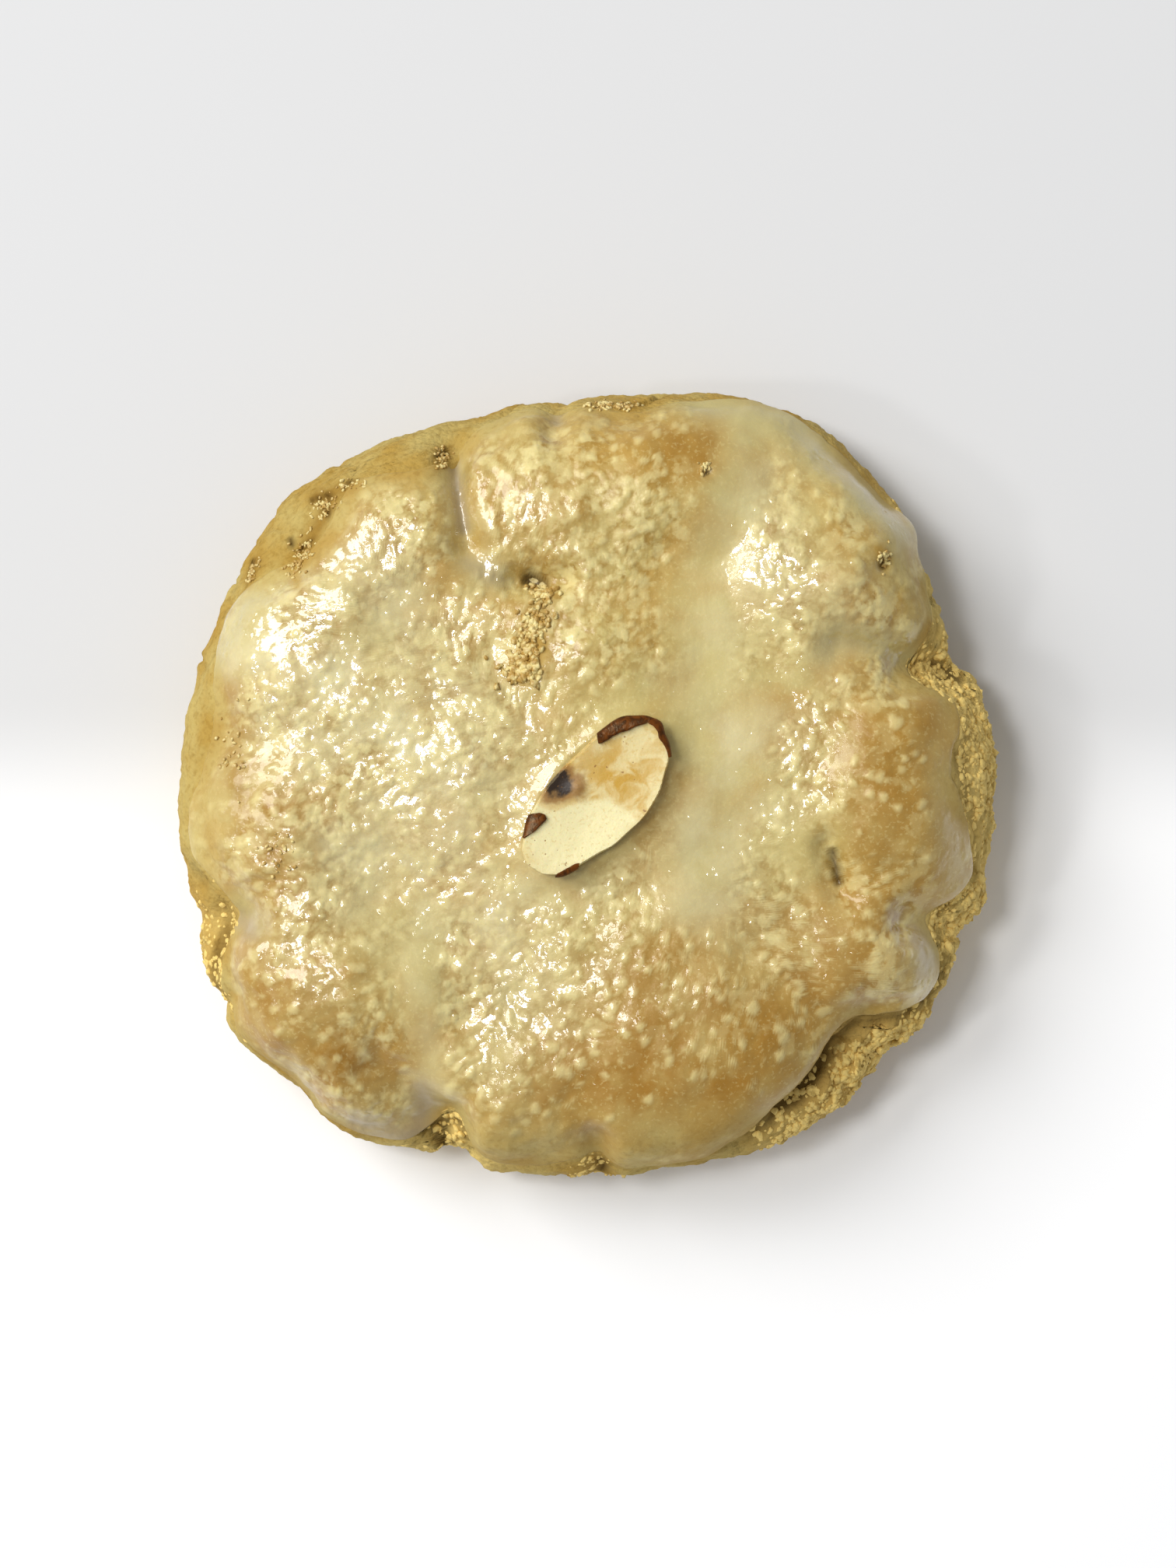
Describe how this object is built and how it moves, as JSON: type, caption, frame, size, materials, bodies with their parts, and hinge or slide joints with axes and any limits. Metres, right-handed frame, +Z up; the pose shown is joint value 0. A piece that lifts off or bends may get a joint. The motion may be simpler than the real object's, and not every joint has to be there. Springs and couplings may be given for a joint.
{
  "type": "round glazed almond cake",
  "caption": "Small round almond cake with a lobed, cracked crown, a thin clear sugar glaze that stops short of the rim, and a flaked almond on top.",
  "frame": {"origin": "centre of the cake's bounding box, on the flat base it rests on", "axes": "+Z up out of the glazed crown; +Y away from a viewer who stands in front, towards the top of the picture; +X to the right"},
  "size_m": [0.0944, 0.0907, 0.0258],
  "materials": {
    "baked_dough": "dry crumbly baked almond dough, browned at the base and on the tops of the lobes",
    "sugar_glaze": "wet, see-through sugar glaze over the dough, whiter where it pools",
    "almond_flesh": "toasted cream flesh with brown skin on part of the rim and one burnt spot"
  },
  "bodies": {
    "root": {"cake": "baked_dough", "glaze": "sugar_glaze", "almond_slice": "almond_flesh"}
  },
  "joints": []
}
